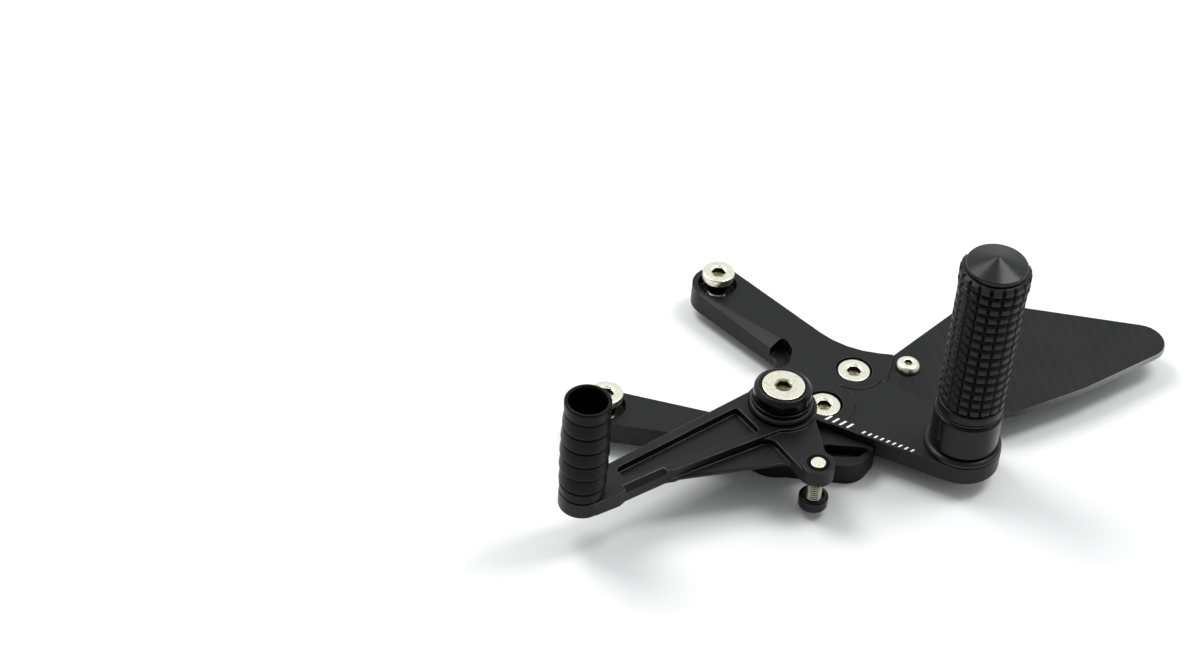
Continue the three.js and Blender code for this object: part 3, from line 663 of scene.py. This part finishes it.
def button_screw(node):
    """M5 button-head screw with a domed head."""
    axis = axis_of(node)
    bottom, top = span(node)
    seat = high("heel_guard").z + 0.3
    head = radius_of(node)
    socket = hexagon(3)
    shank = 2.5
    mouth = 2.1
    lip = 0.25
    dome_steps = 11
    rings = [ring(axis, r, z) for r, z in thread(shank, 0.8, bottom, seat - 0.4)]
    rings.append(ring(axis, shank, seat - 0.1))
    rings.append(ring(axis, head - lip, seat))
    for k in range(dome_steps):
        angle = math.pi / 2 * k / dome_steps
        out = mouth + (head - mouth) * math.cos(angle)
        up = seat + lip + (top - seat - lip) * math.sin(angle)
        rings.append(ring(axis, out, up))
    rings.append(ring(axis, mouth - 0.05, top))
    first_socket = len(rings)
    rings += [ring(axis, socket, top - 0.25), ring(axis, socket, top - 1.5), ring(axis, POINT, top - 2)]
    # The socket's bands take the steel painted dark as shade.
    bm = loft(rings, paint=lambda k: 1 if k >= first_socket else 0)
    place(bm, node + "_turned", [STEEL_HEAD, PAINTED_SHADE_STEEL], node)


def all_screws():
    for node, head_height in HEAD_HEIGHTS.items():
        if node.startswith("mount"):
            socket_screw(node, MOUNT_THREAD_TOP, MOUNT_SHOULDER)
        else:
            socket_screw(node, high(node).z - head_height - 1.2)
    button_screw("guard_screw_front")
    button_screw("guard_screw_rear")


def peg_bolt():
    """Screw that holds the peg from behind, its socket facing down."""
    top = high("peg_bolt").z
    head = radius_of("peg_bolt")
    socket = hexagon(M8_SOCKET)
    rings = [ring(PEG, POINT, 3.4), ring(PEG, socket, 3), ring(PEG, socket, 0.45)]
    socket_bands = len(rings)
    profile = [(3.4, 0.1), (3.6, 0), (head, 0), (head, 5), (M8_RADIUS, 5), (M8_RADIUS, 6.2)]
    rings += [ring(PEG, r, z) for r, z in soften(profile, 0.5)]
    rings += [ring(PEG, r, z) for r, z in thread(M8_RADIUS, M8_PITCH, 6.5, top - 0.4)]
    rings.append(ring(PEG, M8_RADIUS - 0.7, top))
    # The socket's bands take the steel painted dark as shade.
    bm = loft(rings, paint=lambda k: 1 if k < socket_bands else 0)
    place(bm, "peg_bolt_turned", [STEEL_HEAD, PAINTED_SHADE_STEEL], "peg_bolt")


# ---------- lever pivot ----------
def pivot_cap():
    bottom, top = span("pivot_cap")
    outer = radius_of("pivot_cap")
    mouth = radius_of("pivot_screw") + 0.25
    bore = 4.3
    bm = turned([
        (bore, bottom), (outer - 0.3, bottom), (outer, bottom + 0.5), (outer, top - 1.3),
        (outer - 1.5, top), (mouth + 0.25, top), (mouth, top - 0.3), (bore, top - 4.2),
    ], PIVOT, 0.25)
    place(bm, "pivot_cap_turned", [BLACK_SMOOTH], "pivot_cap")


def pivot_screw():
    """Countersunk M8 screw through the cap and the lever."""
    top = high("pivot_screw").z
    head = radius_of("pivot_screw")
    socket = hexagon(M8_SOCKET)
    rings = [ring(PIVOT, 3.3, 2), ring(PIVOT, 3.7, 2.4)]
    rings += [ring(PIVOT, r, z) for r, z in thread(M8_RADIUS, M8_PITCH, 2.6, 14)]
    profile = [
        (M8_RADIUS, 14.4), (M8_RADIUS, top - (head - M8_RADIUS)),
        (head, top - 0.25), (head - 0.3, top), (3.5, top),
    ]
    rings += [ring(PIVOT, r, z) for r, z in soften(profile, 0.2)]
    first_socket = len(rings)
    rings += [ring(PIVOT, 3.2, top - 0.3), ring(PIVOT, socket, top - 0.5)]
    rings += [ring(PIVOT, socket, top - 2.6), ring(PIVOT, POINT, top - 3.2)]
    # The socket's bands take the steel painted dark as shade.
    bm = loft(rings, paint=lambda k: 1 if k >= first_socket else 0)
    place(bm, "pivot_screw_turned", [STEEL_HEAD, PAINTED_SHADE_STEEL], "pivot_screw")


def pivot_rings():
    """Thrust washer and seals, above and below the lever's boss."""
    plain_ring("pivot_thrust_washer", PIVOT, 5.7, 0.35, BLACK_SMOOTH)
    plain_ring("pivot_seal_upper", PIVOT, 5.7, 0.6, RUBBER)
    plain_ring("pivot_seal_lower", PIVOT, 8, 0.6, RUBBER)


# ---------- toe peg ----------
TOE_RIBS = 5
TOE_PITCH = 6.74
TOE_GROOVE = 8.0           # radius between the ribs
TOE_RIM = 8.5
TOE_BORE = 6.9
TOE_HOLE = 3.3             # radius of the screw's hole in the floor
TOE_FLOOR = 4


def toe_peg():
    """Hollow toe peg with rounded ribs between narrow grooves."""
    bottom, top = span("toe_peg")
    first = bottom + 5.1
    last = first + TOE_RIBS * TOE_PITCH
    outline = [
        (TOE_HOLE, bottom), (TOE_GROOVE, bottom), (TOE_GROOVE + 0.2, bottom + 0.5),
        (TOE_RIM, first - 0.7), (TOE_GROOVE, first - 0.3),
    ]
    for rib in range(TOE_RIBS):
        base = first + rib * TOE_PITCH
        from_middle = 2 * rib / (TOE_RIBS - 1) - 1
        flare = 9 - 0.3 * from_middle ** 2
        outline += [
            (TOE_GROOVE, base), (flare - 0.15, base + 0.35), (flare, base + 0.9),
            (flare - 0.1, base + 0.45 * TOE_PITCH), (flare - 0.4, base + TOE_PITCH - 0.7),
            (TOE_GROOVE, base + TOE_PITCH - 0.3),
        ]
    outline += [
        (TOE_GROOVE, last), (TOE_RIM - 0.1, last + 0.4), (TOE_RIM, top - 1.2), (TOE_RIM, top - 0.5),
        (TOE_RIM - 0.4, top), (TOE_BORE + 0.5, top), (TOE_BORE, top - 0.6),
        (TOE_BORE, bottom + TOE_FLOOR), (TOE_HOLE, bottom + TOE_FLOOR),
    ]
    place(turned(outline, TOE, 0.25), "toe_peg_turned", [BLACK_DULL], "toe_peg")


def toe_peg_screw():
    """M6 screw whose head rests on the floor of the toe peg."""
    bottom, top = span("toe_peg_screw")
    floor = low("toe_peg").z + TOE_FLOOR
    shank = 3
    head = 5
    socket = hexagon(5)
    rings = [ring(TOE, shank - 0.6, bottom)]
    rings += [ring(TOE, r, z) for r, z in thread(shank, 1, bottom + 0.2, floor - 1)]
    profile = [
        (shank, floor - 0.8), (shank, floor + 0.3), (head, floor + 0.3),
        (head, top), (3.3, top), (3, top - 0.4),
    ]
    rings += [ring(TOE, r, z) for r, z in soften(profile, 0.4)]
    first_socket = len(rings)
    rings += [ring(TOE, socket, top - 0.5), ring(TOE, socket, top - 3), ring(TOE, POINT, top - 3.4)]
    # The socket's bands take the steel painted dark as shade.
    bm = loft(rings, paint=lambda k: 1 if k >= first_socket else 0)
    place(bm, "toe_peg_screw_turned", [STEEL_HEAD, PAINTED_SHADE_STEEL], "toe_peg_screw")


# ---------- linkage ----------
def linkage_stud():
    """Stud that hangs from the lever's eye, its thread grooves painted dark as shade."""
    bottom, top = span("linkage_stud")
    lever_low, lever_top = span("shift_lever")
    radius = radius_of("linkage_stud")
    groove = radius - 0.22
    rings = [ring(EYE, radius - 0.6, bottom)]
    rings += [ring(EYE, r, z) for r, z in thread(radius, 1.0, bottom + 0.3, lever_low + 0.6, 0.5)]
    profile = [
        (radius, lever_low + 0.8), (radius, lever_top),
        (radius - 0.15, top - 0.2), (radius - 0.7, top),
    ]
    rings += [ring(EYE, r, z) for r, z in soften(profile, 0.3)]
    bm = loft(rings)
    # Painted shade: faces deep in the thread's grooves take the dark steel.
    for face in bm.faces:
        middle = face.calc_center_median()
        in_groove = (middle.xy - Vector(EYE)).length < groove
        if in_groove and bottom + 0.6 < middle.z < lever_low:
            face.material_index = 1
    place(bm, "linkage_stud_turned", [STEEL_THREAD, PAINTED_SHADE_STEEL], "linkage_stud")


def linkage_collar():
    bottom, top = span("linkage_collar")
    outer = radius_of("linkage_collar")
    bore = 3.3
    bm = turned([
        (bore, bottom), (outer - 0.5, bottom), (outer, bottom + 0.5), (outer, top - 0.6),
        (outer - 0.6, top), (bore + 0.6, top), (bore, top - 0.5),
    ], EYE, 0.2)
    place(bm, "linkage_collar_turned", [BLACK_SMOOTH], "linkage_collar")


def eye_painted_shadow():
    """Painted shadow: a thin black ring round the stud's upper end, level with the eye, for the shade
    in the eye round the stud.
    """
    lever_top = high("shift_lever").z
    radius = radius_of("linkage_stud")
    inner, outer = radius + 0.35, radius + 1.4
    bottom, top = lever_top - 0.05, lever_top + 0.05
    bm = turned([(inner, bottom), (outer, bottom), (outer, top), (inner, top)], EYE, 0.02)
    place(bm, "linkage_eye_painted_shadow", [BLACK_PAINTED_SHADOW], body=BODIES["shift_lever"], slot=SLOTS["shift_lever"])


# ---------- foot peg ----------
PEG_BORE = 7.3
COLUMNS = 18                          # teeth round the peg
TOOTH_STEPS = 12                      # facets across a tooth
KNURL_STEPS = COLUMNS * TOOTH_STEPS
SLEEVE_ROWS = 13
HEAD_ROWS = 2


def crown(share, ramp):
    """Height of a tooth between two grooves, from 0 in the groove to 1 on its flat."""
    return min(1, min(share, 1 - share) / ramp)


def knurl(bottom, top, rows, outer, root, worn):
    """Rings of a grip cut by level grooves and upright grooves, its teeth worn a little unevenly."""
    wear = [[worn.uniform(0.93, 1.0) for _ in range(COLUMNS)] for _ in range(rows)]
    rings = []
    for row in range(rows):
        for step in range(TOOTH_STEPS):
            share = step / TOOTH_STEPS
            level = crown(share, 0.26)

            def radius(angle, row=row, level=level):
                position = angle / TURN * COLUMNS
                tooth = crown(position % 1, 0.16)
                cut = min(level, 0.2 + 0.8 * tooth)
                return root + (outer - root) * cut * wear[row][int(position) % COLUMNS]
            z = bottom + (top - bottom) * (row + share) / rows
            rings.append(ring(PEG, radius, z, KNURL_STEPS))
    return rings


def peg_base_ring():
    bottom, top = span("peg_base_ring")
    outer = radius_of("peg_base_ring")
    bm = turned([
        (PEG_BORE, bottom), (outer, bottom), (outer, top - 0.8), (outer - 0.9, top), (PEG_BORE, top),
    ], PEG, 0.3)
    place(bm, "peg_base_ring_turned", [CONE], "peg_base_ring")


def peg_collar():
    bottom, top = span("peg_collar")
    outer = radius_of("peg_collar")
    bm = turned([
        (PEG_BORE, bottom), (outer - 0.5, bottom), (outer, bottom + 0.7),
        (outer, top - 0.7), (outer - 0.6, top), (PEG_BORE, top),
    ], PEG, 0.3)
    place(bm, "peg_collar_turned", [BLACK_SMOOTH], "peg_collar")


def peg_grip_sleeve(worn):
    """Plain lead-in below, then rows of teeth up to the head ring."""
    bottom, top = span("peg_grip_sleeve")
    outer = radius_of("peg_grip_sleeve")
    root = outer - 1.2
    first_tooth = bottom + 4.4
    lead = [
        (outer - 0.6, bottom), (outer, bottom + 0.6),
        (outer, first_tooth - 0.5), (outer - 0.9, first_tooth - 0.1),
    ]
    rings = [ring(PEG, PEG_BORE, bottom, KNURL_STEPS)]
    rings += [ring(PEG, r, z, KNURL_STEPS) for r, z in soften(lead, 0.3)]
    rings += knurl(first_tooth, top, SLEEVE_ROWS, outer + 0.15, root, worn)
    rings += [ring(PEG, root, top, KNURL_STEPS), ring(PEG, PEG_BORE, top, KNURL_STEPS)]
    place(loft(rings, closed=True), "peg_grip_sleeve_knurled", [KNURL], "peg_grip_sleeve")


def peg_head_ring(worn):
    bottom, top = span("peg_head_ring")
    outer = radius_of("peg_head_ring")
    root = outer - 1.7
    rings = [ring(PEG, PEG_BORE, bottom, KNURL_STEPS), ring(PEG, root, bottom, KNURL_STEPS)]
    rings += knurl(bottom + 0.2, top, HEAD_ROWS, outer, root, worn)
    rings += [ring(PEG, root, top, KNURL_STEPS), ring(PEG, PEG_BORE, top, KNURL_STEPS)]
    place(loft(rings, closed=True), "peg_head_ring_knurled", [KNURL], "peg_head_ring")


def peg_end_cap():
    """Low cone on a straight rim, with a plug into the spindle."""
    top = high("peg_end_cap").z
    seat = high("peg_head_ring").z + 0.3
    rim = 102.9
    outer = radius_of("peg_end_cap")
    plug = 3
    profile = [
        (plug, 92), (plug, seat), (outer - 0.3, seat), (outer, seat + 0.3),
        (outer, rim), (0.5, top), (0.02, top),
    ]
    rings = [ring(PEG, r, z) for r, z in soften(profile, 0.35)]
    place(loft(rings), "peg_end_cap_turned", [CONE], "peg_end_cap")


def foot_peg():
    """The stack of the peg from the carrier up."""
    worn = random.Random(7)
    peg_base_ring()
    peg_collar()
    plain_ring("peg_o_ring", PEG, PEG_BORE, 0.4, RUBBER, "moulded")
    peg_grip_sleeve(worn)
    peg_head_ring(worn)
    peg_end_cap()


def hidden_parts():
    """CAD nodes inside the assembly keep their shape and get ground steel."""
    for node in ("pivot_sleeve", "lever_bearing_upper", "lever_bearing_lower", "peg_spindle"):
        for material_slot in frame["nodes"][node].material_slots:
            material_slot.material = GROUND


# ---------- stage, light and camera ----------
def stage():
    """White floor, a hair under the part."""
    bm = bmesh.new()
    bmesh.ops.create_grid(bm, x_segments=8, y_segments=8, size=4.0)
    mesh = bpy.data.meshes.new("floor")
    bm.to_mesh(mesh)
    bm.free()
    mesh.materials.append(pale_floor("floor_white"))
    floor = bpy.data.objects.new("floor", mesh)
    floor.location.z = -0.00005
    bpy.context.scene.collection.objects.link(floor)


def softbox(name, place_at, target, width, depth, power):
    """Rectangular lamp in metres, aimed at a point."""
    lamp = bpy.data.lights.new(name, "AREA")
    lamp.shape = "RECTANGLE"
    lamp.size = width
    lamp.size_y = depth
    lamp.energy = power
    holder = bpy.data.objects.new(name, lamp)
    holder.location = place_at
    aim = Vector(target) - Vector(place_at)
    holder.rotation_euler = aim.to_track_quat("-Z", "Y").to_euler()
    bpy.context.scene.collection.objects.link(holder)


WORLD_FRONT = 0.3          # brightness of the room on the camera's side
WORLD_BACK = 1.1           # brightness of the white sweep behind


def lights():
    """Two overhead softboxes, and a room that brightens from the camera's side to the back."""
    middle = (0.02, 0.0, 0.0)
    softbox("left_box", (-0.62, 0.40, 1.20), middle, 0.5, 0.6, 9.5)
    softbox("right_box", (0.55, 0.25, 1.20), middle, 0.34, 0.6, 7)
    world = bpy.data.worlds.new("studio")
    world.use_nodes = True
    nodes, links = world.node_tree.nodes, world.node_tree.links
    background = nodes["Background"]
    direction = nodes.new("ShaderNodeTexCoord")
    split = nodes.new("ShaderNodeSeparateXYZ")
    depth = nodes.new("ShaderNodeMapRange")
    depth.interpolation_type = "SMOOTHSTEP"
    depth.inputs["From Min"].default_value = -0.8
    depth.inputs["From Max"].default_value = 0.5
    depth.inputs["To Min"].default_value = WORLD_FRONT
    depth.inputs["To Max"].default_value = WORLD_BACK
    links.new(direction.outputs["Generated"], split.inputs["Vector"])
    links.new(split.outputs["Y"], depth.inputs["Value"])
    links.new(depth.outputs["Result"], background.inputs["Strength"])
    background.inputs["Color"].default_value = (0.93, 0.94, 0.95, 1)
    bpy.context.scene.world = world


def camera():
    """Camera with an 86 mm lens, looking down at 42 degrees and rolled 4 degrees."""
    heading = math.radians(-0.07)
    elevation = math.radians(41.8)
    roll = math.radians(4.3)
    data = bpy.data.cameras.new("camera")
    data.sensor_width = 36
    data.lens = 85.64
    data.clip_start = 0.05
    data.clip_end = 20
    holder = bpy.data.objects.new("camera", data)
    tilt = Matrix.Rotation(heading, 4, "Z") @ Matrix.Rotation(math.pi / 2 - elevation, 4, "X")
    twist = Matrix.Rotation(roll, 4, "Z")
    holder.matrix_world = Matrix.Translation((-0.07015, -0.77603, 0.74881)) @ tilt @ twist
    bpy.context.scene.collection.objects.link(holder)
    bpy.context.scene.camera = holder


def colours():
    """Plain colour response, with denoising."""
    view = bpy.context.scene.view_settings
    view.view_transform = "Standard"
    view.look = "None"
    bpy.context.scene.cycles.use_denoising = True


camera()
colours()
stage()
lights()
milled_plates()
edge_marks()
all_screws()
peg_bolt()
plain_ring("peg_washer", PEG, 4.3, 0.2, STEEL_HEAD)
pivot_cap()
pivot_screw()
pivot_rings()
toe_peg()
toe_peg_screw()
linkage_stud()
linkage_collar()
eye_painted_shadow()
foot_peg()
hidden_parts()
